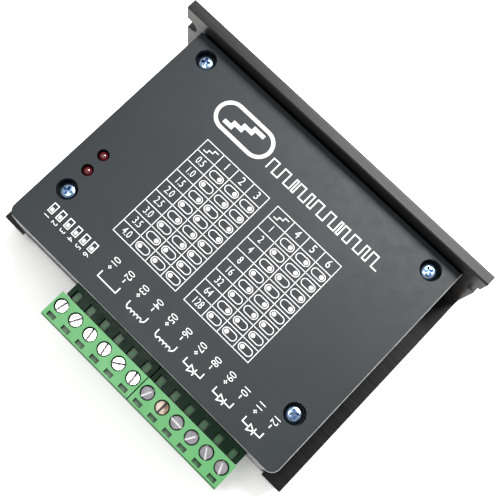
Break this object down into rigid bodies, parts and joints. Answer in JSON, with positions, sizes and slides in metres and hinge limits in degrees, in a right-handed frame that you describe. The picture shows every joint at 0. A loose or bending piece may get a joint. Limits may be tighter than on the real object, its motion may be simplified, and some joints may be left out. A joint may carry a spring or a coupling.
{
  "type": "stepper driver module",
  "caption": "Stepper motor driver module: black finned heat sink with a slotted mounting flange, box cover, pluggable green screw terminals and a small setting switch.",
  "frame": {"origin": "centre of the bounding box in plan, on the plane of the fin tips", "axes": "+X along the terminals and the length of the flange, +Y from the terminals to the mounting flange, +Z out of the printed face of the cover"},
  "size_m": [0.1046, 0.085, 0.037],
  "materials": {
    "black_metal": "black anodised aluminium extrusion, satin",
    "black_cover": "aluminium painted satin black, with white print",
    "green_plastic": "moulded polyamide, light sheen",
    "nickel": "nickel-plated steel",
    "zinc_steel": "blue zinc-plated steel",
    "aluminium": "plain turned",
    "board_green": "green solder mask on glass-fibre laminate",
    "black_plastic": "moulded epoxy and sleeved cans",
    "white_plastic": "moulded",
    "blue_plastic": "moulded",
    "red_lens": "tinted clear epoxy",
    "grey_pad": "thermal silicone sheet"
  },
  "bodies": {
    "housing": {"heatsink": "black_metal", "cover": "black_cover", "circuit_board": "board_green", "driver_chip": "black_plastic", "thermal_pad": "grey_pad", "cover_screw_front_left": "zinc_steel", "cover_screw_front_right": "zinc_steel", "cover_screw_rear_left": "zinc_steel", "cover_screw_rear_right": "zinc_steel", "board_spacer_left": "aluminium", "board_screw_left": "zinc_steel", "board_spacer_right": "aluminium", "board_screw_right": "zinc_steel", "board_spacer_rear": "aluminium", "board_screw_rear": "zinc_steel", "chip_screw_left": "zinc_steel", "capacitor_left": "black_plastic", "chip_screw_right": "zinc_steel", "capacitor_right": "black_plastic", "optocoupler_enable": "black_plastic", "optocoupler_pulse": "black_plastic", "optocoupler_direction": "black_plastic", "lamp_power": "red_lens", "lamp_alarm": "red_lens", "setting_switch": "blue_plastic", "motor_terminal_header": "green_plastic", "signal_terminal_header": "green_plastic"},
    "slider_1": {"switch_slider_1": "white_plastic"},
    "slider_2": {"switch_slider_2": "white_plastic"},
    "slider_3": {"switch_slider_3": "white_plastic"},
    "slider_4": {"switch_slider_4": "white_plastic"},
    "slider_5": {"switch_slider_5": "white_plastic"},
    "slider_6": {"switch_slider_6": "white_plastic"},
    "motor_plug": {"motor_terminal_plug": "green_plastic"},
    "motor_screw_1": {"motor_terminal_screw_1": "nickel"},
    "motor_clamp_1": {"motor_wire_clamp_1": "nickel"},
    "motor_screw_2": {"motor_terminal_screw_2": "nickel"},
    "motor_clamp_2": {"motor_wire_clamp_2": "nickel"},
    "motor_screw_3": {"motor_terminal_screw_3": "nickel"},
    "motor_clamp_3": {"motor_wire_clamp_3": "nickel"},
    "motor_screw_4": {"motor_terminal_screw_4": "nickel"},
    "motor_clamp_4": {"motor_wire_clamp_4": "nickel"},
    "motor_screw_5": {"motor_terminal_screw_5": "nickel"},
    "motor_clamp_5": {"motor_wire_clamp_5": "nickel"},
    "motor_screw_6": {"motor_terminal_screw_6": "nickel"},
    "motor_clamp_6": {"motor_wire_clamp_6": "nickel"},
    "signal_plug": {"signal_terminal_plug": "green_plastic"},
    "signal_screw_1": {"signal_terminal_screw_1": "nickel"},
    "signal_clamp_1": {"signal_wire_clamp_1": "nickel"},
    "signal_screw_2": {"signal_terminal_screw_2": "nickel"},
    "signal_clamp_2": {"signal_wire_clamp_2": "nickel"},
    "signal_screw_3": {"signal_terminal_screw_3": "nickel"},
    "signal_clamp_3": {"signal_wire_clamp_3": "nickel"},
    "signal_screw_4": {"signal_terminal_screw_4": "nickel"},
    "signal_clamp_4": {"signal_wire_clamp_4": "nickel"},
    "signal_screw_5": {"signal_terminal_screw_5": "nickel"},
    "signal_clamp_5": {"signal_wire_clamp_5": "nickel"},
    "signal_screw_6": {"signal_terminal_screw_6": "nickel"},
    "signal_clamp_6": {"signal_wire_clamp_6": "nickel"}
  },
  "joints": [
    {"name": "setting_1", "type": "slide", "parent": "housing", "child": "slider_1", "axis": [0, 0, 1], "range_m": [0, 0.002]},
    {"name": "setting_2", "type": "slide", "parent": "housing", "child": "slider_2", "axis": [0, 0, 1], "range_m": [0, 0.002]},
    {"name": "setting_3", "type": "slide", "parent": "housing", "child": "slider_3", "axis": [0, 0, 1], "range_m": [0, 0.002]},
    {"name": "setting_4", "type": "slide", "parent": "housing", "child": "slider_4", "axis": [0, 0, 1], "range_m": [0, 0.002]},
    {"name": "setting_5", "type": "slide", "parent": "housing", "child": "slider_5", "axis": [0, 0, 1], "range_m": [0, 0.002]},
    {"name": "setting_6", "type": "slide", "parent": "housing", "child": "slider_6", "axis": [0, 0, 1], "range_m": [0, 0.002]},
    {"name": "motor_plug_pull", "type": "slide", "parent": "housing", "child": "motor_plug", "axis": [0, -1, 0], "range_m": [0, 0.012]},
    {"name": "motor_tighten_1", "type": "hinge", "parent": "motor_plug", "child": "motor_screw_1", "pos_m": [-0.01964, -0.0376, 0.0279], "axis": [0, 0, -1], "range_deg": [0, 1800]},
    {"name": "motor_grip_1", "type": "slide", "parent": "motor_plug", "child": "motor_clamp_1", "axis": [0, 0, 1], "range_m": [0, 0.0025]},
    {"name": "motor_tighten_2", "type": "hinge", "parent": "motor_plug", "child": "motor_screw_2", "pos_m": [-0.01456, -0.0376, 0.0279], "axis": [0, 0, -1], "range_deg": [0, 1800]},
    {"name": "motor_grip_2", "type": "slide", "parent": "motor_plug", "child": "motor_clamp_2", "axis": [0, 0, 1], "range_m": [0, 0.0025]},
    {"name": "motor_tighten_3", "type": "hinge", "parent": "motor_plug", "child": "motor_screw_3", "pos_m": [-0.00948, -0.0376, 0.0279], "axis": [0, 0, -1], "range_deg": [0, 1800]},
    {"name": "motor_grip_3", "type": "slide", "parent": "motor_plug", "child": "motor_clamp_3", "axis": [0, 0, 1], "range_m": [0, 0.0025]},
    {"name": "motor_tighten_4", "type": "hinge", "parent": "motor_plug", "child": "motor_screw_4", "pos_m": [-0.0044, -0.0376, 0.0279], "axis": [0, 0, -1], "range_deg": [0, 1800]},
    {"name": "motor_grip_4", "type": "slide", "parent": "motor_plug", "child": "motor_clamp_4", "axis": [0, 0, 1], "range_m": [0, 0.0025]},
    {"name": "motor_tighten_5", "type": "hinge", "parent": "motor_plug", "child": "motor_screw_5", "pos_m": [0.00068, -0.0376, 0.0279], "axis": [0, 0, -1], "range_deg": [0, 1800]},
    {"name": "motor_grip_5", "type": "slide", "parent": "motor_plug", "child": "motor_clamp_5", "axis": [0, 0, 1], "range_m": [0, 0.0025]},
    {"name": "motor_tighten_6", "type": "hinge", "parent": "motor_plug", "child": "motor_screw_6", "pos_m": [0.00576, -0.0376, 0.0279], "axis": [0, 0, -1], "range_deg": [0, 1800]},
    {"name": "motor_grip_6", "type": "slide", "parent": "motor_plug", "child": "motor_clamp_6", "axis": [0, 0, 1], "range_m": [0, 0.0025]},
    {"name": "signal_plug_pull", "type": "slide", "parent": "housing", "child": "signal_plug", "axis": [0, -1, 0], "range_m": [0, 0.012]},
    {"name": "signal_tighten_1", "type": "hinge", "parent": "signal_plug", "child": "signal_screw_1", "pos_m": [0.01084, -0.0376, 0.0279], "axis": [0, 0, -1], "range_deg": [0, 1800]},
    {"name": "signal_grip_1", "type": "slide", "parent": "signal_plug", "child": "signal_clamp_1", "axis": [0, 0, 1], "range_m": [0, 0.0025]},
    {"name": "signal_tighten_2", "type": "hinge", "parent": "signal_plug", "child": "signal_screw_2", "pos_m": [0.01592, -0.0376, 0.0279], "axis": [0, 0, -1], "range_deg": [0, 1800]},
    {"name": "signal_grip_2", "type": "slide", "parent": "signal_plug", "child": "signal_clamp_2", "axis": [0, 0, 1], "range_m": [0, 0.0025]},
    {"name": "signal_tighten_3", "type": "hinge", "parent": "signal_plug", "child": "signal_screw_3", "pos_m": [0.021, -0.0376, 0.0279], "axis": [0, 0, -1], "range_deg": [0, 1800]},
    {"name": "signal_grip_3", "type": "slide", "parent": "signal_plug", "child": "signal_clamp_3", "axis": [0, 0, 1], "range_m": [0, 0.0025]},
    {"name": "signal_tighten_4", "type": "hinge", "parent": "signal_plug", "child": "signal_screw_4", "pos_m": [0.02608, -0.0376, 0.0279], "axis": [0, 0, -1], "range_deg": [0, 1800]},
    {"name": "signal_grip_4", "type": "slide", "parent": "signal_plug", "child": "signal_clamp_4", "axis": [0, 0, 1], "range_m": [0, 0.0025]},
    {"name": "signal_tighten_5", "type": "hinge", "parent": "signal_plug", "child": "signal_screw_5", "pos_m": [0.03116, -0.0376, 0.0279], "axis": [0, 0, -1], "range_deg": [0, 1800]},
    {"name": "signal_grip_5", "type": "slide", "parent": "signal_plug", "child": "signal_clamp_5", "axis": [0, 0, 1], "range_m": [0, 0.0025]},
    {"name": "signal_tighten_6", "type": "hinge", "parent": "signal_plug", "child": "signal_screw_6", "pos_m": [0.03624, -0.0376, 0.0279], "axis": [0, 0, -1], "range_deg": [0, 1800]},
    {"name": "signal_grip_6", "type": "slide", "parent": "signal_plug", "child": "signal_clamp_6", "axis": [0, 0, 1], "range_m": [0, 0.0025]}
  ],
  "couplings": [
    {"joint": "motor_tighten_1", "follows": "motor_grip_1", "rad_per_m": 12566},
    {"joint": "motor_tighten_2", "follows": "motor_grip_2", "rad_per_m": 12566},
    {"joint": "motor_tighten_3", "follows": "motor_grip_3", "rad_per_m": 12566},
    {"joint": "motor_tighten_4", "follows": "motor_grip_4", "rad_per_m": 12566},
    {"joint": "motor_tighten_5", "follows": "motor_grip_5", "rad_per_m": 12566},
    {"joint": "motor_tighten_6", "follows": "motor_grip_6", "rad_per_m": 12566},
    {"joint": "signal_tighten_1", "follows": "signal_grip_1", "rad_per_m": 12566},
    {"joint": "signal_tighten_2", "follows": "signal_grip_2", "rad_per_m": 12566},
    {"joint": "signal_tighten_3", "follows": "signal_grip_3", "rad_per_m": 12566},
    {"joint": "signal_tighten_4", "follows": "signal_grip_4", "rad_per_m": 12566},
    {"joint": "signal_tighten_5", "follows": "signal_grip_5", "rad_per_m": 12566},
    {"joint": "signal_tighten_6", "follows": "signal_grip_6", "rad_per_m": 12566}
  ]
}
